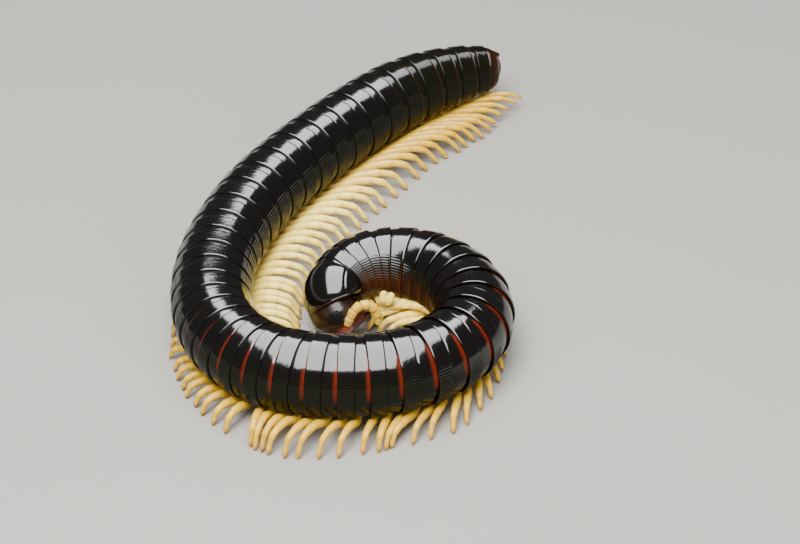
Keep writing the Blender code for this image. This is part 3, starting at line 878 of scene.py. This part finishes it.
def place_leg(leg, claw, number, ring, side, leg_finish, claw_finish, draw):
    """One leg and its claw, drawn out along the leg's route."""
    route = leg_line(ring, side, draw)
    level = route[-1] - route[0]
    across = unit(np.array((level[1], -level[0], 0.0)))
    claw_share = 1 - CLAW_LENGTH / run_along(route)[-1]
    points = points_of(leg)
    share = points[:, 2] / LEG_MODEL_LENGTH
    stout = min(1.0, girth(ring) / BODY_RADIUS) * draw.uniform(0.95, 1.05)
    stout = stout * (1 + TAIL_LEG_STOUTNESS * smooth(28, 38, ring))
    raised = side > 0 and round(ring, 2) in RAISED_LEGS
    wide = stout * (np.interp(share, *zip(*RAISED_SHAPE)) if raised else np.ones(len(share)))
    shaped = points * np.stack((wide, wide, np.ones(len(share))), axis=1)
    leg_end = 1.0 if raised else claw_share + 0.02
    placed = along_route(route, shaped, 0.0, leg_end, LEG_MODEL_END * LEG_MODEL_LENGTH, across)
    straight = (points + (0, 0, number * PATTERN_STEP)) / MM
    marks = leg_marks(share) * (1.0 - 0.8 * raised, 1.0 - 0.7 * raised, 1.0, 1.0)
    # The fourth share of a left leg's marks is painted light, lighter where the body shades it
    marks[:, 3] = leg_painted_lightening(ring) if side > 0 else 0.0
    new_leg = bent_copy(leg, "leg", placed, leg_finish, straight, marks)
    # The claw of a raised leg is drawn back into its blunt end
    back = 0.1 * raised
    tip = along_route(route, points_of(claw), claw_share - back, 1.0 - back, CLAW_LENGTH, across)
    return new_leg, bent_copy(claw, "claw", tip, claw_finish)


def build_trunk(chitin, leg_finish, claw_finish):
    """Every ring, and the legs and claws of each length of the trunk as one piece each."""
    draw = random.Random(SEED)
    ring_shape = turned("ring_model", RING_PROFILE, RING_MODEL_LENGTH, BODY_RADIUS, RING_COLUMNS)
    leg = leg_model()
    claw = turned("claw_model", CLAW_PROFILE, CLAW_LENGTH, CLAW_RADIUS, 6, 60.0)
    first, number = 1, 0
    for name, rings, _, _ in LENGTHS[:-1]:
        legs, claws = [], []
        for step in range(rings):
            ring = place_ring(ring_shape, "ring_%02d" % (first + 1), first, chitin, draw)
            settle(ring, "body_shell", *((name,) if step == 0 else ()))
            shares = DOUBLE_LEG_SHARES if first + 1 >= FIRST_DOUBLE_RING else SINGLE_LEG_SHARES
            for side, share in [(side, share) for side in (1, -1) for share in shares]:
                if first + share >= LAST_LEG_RING:
                    continue
                number += 1
                pair = place_leg(leg, claw, number, first + share, side, leg_finish, claw_finish, draw)
                legs.append(pair[0])
                claws.append(pair[1])
            first += 1
        if legs:
            settle(joined("legs_" + name, legs), None)
            settle(joined("claws_" + name, claws), None)
    discard(ring_shape, leg, claw)


def build_collum(chitin):
    """The large smooth shield behind the head, with a fine rim in front and furrows on its side lobes."""
    model = turned("collum_model", COLLUM_PROFILE, COLLUM_LENGTH, float(girth(1.0)), COLLUM_COLUMNS)
    height, size, angle = round_points(model)
    share = height / COLLUM_LENGTH
    curve = np.abs(angle) + COLLUM_FURROW_BOW * (share - 0.5) ** 2
    furrows = sum(deep * hump(curve, place, 1.8) for place, deep in COLLUM_FURROWS)
    size = size - COLLUM_FURROW_DEPTH * furrows * smooth(0.08, 0.3, share) * (1 - smooth(0.7, 0.9, share))
    spots = front_spots(at(1.0), COLLUM_LENGTH, COLLUM_BEND, share)
    turn = np.radians(angle)
    up = np.maximum(size * np.cos(turn), -COLLUM_BELLY)
    placed = spots.place + spots.offset(up, size * np.sin(turn))
    rim = smooth(0.96, 0.985, share) + 0.5 * (1 - smooth(0.04, 0.06, share))
    marks = mark_rows(0.0, 0.0, 0.0, 0.4 * np.clip(rim, 0, 1))
    collum = bent_copy(model, "collum_shield", placed, chitin, straight_places(size, angle, height), marks)
    discard(model)
    settle(collum, "body_shell", "collum")


def head_spots(share):
    """The head's frames: they follow the collum, rolled a little further and set to one side."""
    neck = front_spots(at(1.0), COLLUM_LENGTH, COLLUM_BEND, 1.0)
    turn = math.radians(HEAD_ROLL)
    left = neck.left * math.cos(turn) + neck.dorsal * math.sin(turn)
    dorsal = neck.dorsal * math.cos(turn) - neck.left * math.sin(turn)
    rolled = Spots(neck.place - neck.left * HEAD_SHIFT, neck.tailward, left, dorsal)
    return front_spots(rolled, HEAD_LENGTH, HEAD_BEND, share)


def head_points(share, angle, lift=0.0):
    """Points on the head capsule, or lifted off it: share 0 is the collum and 1 the mouth."""
    share = np.atleast_1d(np.asarray(share, float))
    angle = np.atleast_1d(np.asarray(angle, float)) * np.ones_like(share)
    lift = np.asarray(lift, float) * np.ones_like(share)
    spots = head_spots(share)
    turn = np.radians(angle)
    # It narrows and flattens towards the mouth, swells a little at the cheeks and rounds off at its end
    fall = smooth(0.25, 1.25, share)
    close = np.sqrt(np.clip(1 - (np.maximum(share - HEAD_END_START, 0) / HEAD_END_LENGTH) ** 2, 0.02, 1))
    width = HEAD_WIDTH * (1 - HEAD_NARROWING * fall) * (1 + 0.05 * hump(share, 0.6, 0.2)) * close
    depth = HEAD_DEPTH * (1 - HEAD_FLATTENING * fall) * close
    up = depth * np.cos(turn)
    up = np.where(up < 0, np.maximum(up, -HEAD_BELLY * np.maximum(close, 0.4)), up)
    out = spots.offset(up, width * np.sin(turn))
    size = np.linalg.norm(out, axis=1)[:, None]
    return spots.place + out + out / np.maximum(size, 1e-6) * lift[:, None]


def head_relief(share, angle):
    """Height of the capsule's own relief: brow line, face swelling, labrum groove and antenna sockets."""
    side = np.abs(angle)
    midline = -0.05 * MM * hump(side, 0, 3.0) * (1 - smooth(0.3, 0.5, share))
    face = 0.1 * MM * hump(side, 0, 26.0) * hump(share, 0.66, 0.16)
    labrum = -0.08 * MM * hump(share, 0.86, 0.016) * (1 - smooth(50, 70, side))
    relief = midline + face + labrum
    for _, turn, station, _ in ANTENNAE:
        far = np.hypot((angle - turn) / 14.0, (share - station) / 0.14)
        relief = relief + 0.16 * MM * hump(far, 1.0, 0.3) - 0.2 * MM * hump(far, 0, 0.7)
    return relief


def build_head(finish):
    """The head capsule, with its antenna sockets and labrum."""
    profile = [(i / (HEAD_STATIONS - 1), 1.0) for i in range(HEAD_STATIONS)]
    model = turned("head_model", profile, HEAD_LENGTH, HEAD_WIDTH, HEAD_COLUMNS, 50.0)
    height, size, angle = round_points(model)
    share = HEAD_START + HEAD_SPAN * height / HEAD_LENGTH
    surface = head_points(share, angle, head_relief(share, angle))
    centre = head_spots(share).place
    placed = centre + (surface - centre) * (size / HEAD_WIDTH)[:, None]
    mouth = smooth(0.72, 0.86, share) * (0.35 + 0.6 * smooth(20, 60, angle))
    mouth = (mouth + 0.3 * smooth(88, 110, np.abs(angle))) * smooth(0.3, 0.7, share)
    marks = mark_rows(np.clip(mouth, 0, 1), 0.0, 0.0, 0.0)
    head = bent_copy(model, "head_capsule", placed, finish, points_of(model) / MM, marks)
    discard(model)
    settle(head, "head_shell", "head")


def eye_place(x, y, side, grow):
    """Share and angle on the head of a place in the eye's oval, whose edge is 1 from its middle."""
    return EYE_STATION + x * EYE_HALF_STATION * grow, side * (EYE_ANGLE + y * EYE_HALF_ANGLE * grow)


def build_eye(name, side, finish):
    """A field of bead-like ocelli in close rows on a low cushion."""
    deselect_all()
    bpy.ops.mesh.primitive_ico_sphere_add(subdivisions=2, radius=OCELLUS_RADIUS)
    bead = bpy.context.object
    bpy.ops.object.shade_smooth()
    bead_points = points_of(bead)
    pieces = []
    for row in range(OCELLUS_ROWS):
        for column in range(OCELLUS_COLUMNS):
            # Every second row is set over by half a bead
            x = (row - (OCELLUS_ROWS - 1) / 2) / (OCELLUS_ROWS / 2)
            y = (column - (OCELLUS_COLUMNS - 1) / 2 + 0.5 * (row % 2) - 0.25) / (OCELLUS_COLUMNS / 2)
            if x * x + y * y > 1.05:
                continue
            lift = EYE_PROUD - 0.55 * OCELLUS_RADIUS
            centre = head_points(*eye_place(x, y, side, 0.95), lift)[0]
            pieces.append(bent_copy(bead, "ocellus", bead_points + centre, finish))
    # The cushion is a ball in a unit box, laid over the eye's oval and pressed flat
    profile = [(i / 8, max(math.sin(math.pi * i / 8), 0.02)) for i in range(9)]
    model = turned("cushion", profile, MM, MM, 24, 60.0)
    points = points_of(model) / MM
    lift = EYE_PROUD - 0.32 * MM * np.clip(np.hypot(points[:, 0], points[:, 1]), 0, 1) ** 6
    lift = lift - 0.2 * MM * (points[:, 2] < 0.5)
    placed = head_points(*eye_place(points[:, 0], points[:, 1], side, 1.15), lift)
    cushion = bent_copy(model, "cushion", placed, finish)
    discard(bead, model)
    face_outwards(cushion)
    settle(joined("ocelli_" + name, pieces + [cushion]), "eye", "eye_" + name)


def build_antenna(name, angle, station, aims, finish):
    """One antenna: seven club-shaped joints, the last one small."""
    model = turned("joint_model", ANTENNA_JOINT_PROFILE, ANTENNA_JOINT, MM, 20, 60.0)
    points = points_of(model)
    share = points[:, 2] / ANTENNA_JOINT
    place = head_points(station, angle, -ANTENNA_SUNK)[0]
    dorsal = head_spots(station).dorsal[0]
    joints = []
    for number, (radius, aim) in enumerate(zip(ANTENNA_RADII, aims)):
        aim = unit(np.array(aim))
        across = unit(np.cross(aim, dorsal))
        lift = np.cross(across, aim)
        wide = points[:, :2] * radius
        placed = place + aim * points[:, 2:3] * ANTENNA_OVERLAP + across * wide[:, :1] + lift * wide[:, 1:2]
        straight = (points + (0, 0, number * 2 * MM)) / MM
        # Amber at the base and where the joints meet
        base = 0.55 * math.exp(-number / 1.2) + 0.12
        marks = mark_rows(base, 0.2, 0.4 * hump(share, 0, 0.12), 0.0)
        joints.append(bent_copy(model, "joint", placed, finish, straight, marks))
        place = place + aim * ANTENNA_JOINT
    discard(model)
    antenna = joined("antenna_joints_" + name, joints)
    face_outwards(antenna)
    settle(antenna, "antenna", "antenna_" + name)


def ball_model(segments, ring_count):
    """A smooth ball with a radius of one unit, to be pressed into shape."""
    deselect_all()
    bpy.ops.mesh.primitive_uv_sphere_add(segments=segments, ring_count=ring_count, radius=1.0)
    bpy.ops.object.shade_smooth()
    return bpy.context.object


def build_mouthparts(finish):
    """The swollen bases of the mandibles beside the mouth, and the plate that closes it below."""
    for name, station, middle, spread, height in MOUTHPARTS:
        ball = ball_model(32, 20)
        points = points_of(ball)
        share = station + MOUTHPART_HALF_STATION * points[:, 0]
        angle = middle + spread * points[:, 1]
        placed = head_points(share, angle, (height * points[:, 2] - 0.02) * MM)
        mouthpart = bent_copy(ball, name, placed, finish)
        discard(ball)
        face_outwards(mouthpart)
        settle(mouthpart, "head_shell")


def build_telson(chitin):
    """The last ring, drawn out to a short point above."""
    first, pitch = STOPS[-1][0], STOPS[-1][4]
    model = turned("telson_model", TELSON_PROFILE, pitch, BODY_RADIUS, TELSON_COLUMNS)
    height, width, angle = round_points(model)
    share = height / pitch
    side = np.abs(angle)
    point = hump(side, 0, 10.0) * smooth(0.5, 1.0, share)
    radius = girth(first + share) * (width / BODY_RADIUS) * belly_share(angle) * (1 + 0.02 * point)
    placed = at(first + share + 0.3 * point).point(angle, radius)
    marks = mark_rows(0.0, 0.8 + 0.2 * smooth(50, 90, side), 0.0, 0.1 + 0.3 * smooth(0.2, 0.95, share))
    telson = bent_copy(model, "telson_hood", placed, chitin, straight_places(radius, angle, height), marks)
    discard(model)
    settle(telson, "tail_shell", "telson")


def build_valve(name, side, finish):
    """One of the two swollen valves that close the telson, with a raised lip along the slit between them."""
    ball = ball_model(40, 24)
    bpy.ops.object.mode_set(mode="EDIT")
    bpy.ops.mesh.select_all(action="SELECT")
    slit = (side * VALVE_HALF_SLIT, 0, 0)
    bpy.ops.mesh.bisect(plane_co=slit, plane_no=(side, 0, 0), use_fill=True, clear_inner=True)
    bpy.ops.object.mode_set(mode="OBJECT")
    bpy.ops.object.shade_smooth_by_angle(angle=math.radians(50))
    points = points_of(ball)
    first = STOPS[-1][0]
    spot = at(first + 0.55)
    size = float(girth(first + 1.0))
    across = 0.66 * points[:, :1]
    up = 0.72 * points[:, 1:2] - 0.03
    out = (0.36 + 0.07 * hump(points[:, :1], 0, 0.12)) * points[:, 2:3] + 0.1
    placed = spot.place + size * (spot.left * across + spot.dorsal * up + spot.tailward * out)
    valve = bent_copy(ball, "anal_valve_" + name, placed, finish)
    discard(ball)
    face_outwards(valve)
    settle(valve, "tail_shell")


def build_floor():
    """A plain pale floor under the animal."""
    deselect_all()
    bpy.ops.mesh.primitive_plane_add(size=FLOOR_SIZE)
    floor = bpy.context.object
    floor.name = "floor"
    material, tree, shader = new_finish("pale_matt_card")
    dress(tree, shader, Base_Color=linear("#93908a"), Roughness=0.9)
    floor.data.materials.append(material)


def main():
    set_camera()
    set_lights()
    build_floor()
    chitin = wet_black_chitin()
    cream = leg_cuticle()
    build_trunk(chitin, cream, plain_cuticle("amber_claw_horn", "#b5762c", "#8a4f1a", 0.3, 0.5, 0.2, 2.0))
    build_collum(chitin)
    build_head(red_brown_chitin())
    lens = plain_cuticle("glossy_black_lens", "#060606", "#0c0a0a", 0.16, 0.12, 0.0, 3.0)
    for name, side in SIDES:
        build_eye(name, side, lens)
    for antenna in ANTENNAE:
        build_antenna(*antenna, cream)
    build_mouthparts(plain_cuticle("dark_red_cuticle", "#5c1d10", "#3a100a", 0.38, 0.15, 0.15, 1.2))
    build_telson(chitin)
    valve_finish = plain_cuticle("brown_valve_cuticle", "#241308", "#3a200c", 0.45, 0.15, 0.1, 1.5)
    for name, side in SIDES:
        build_valve(name, side, valve_finish)


main()
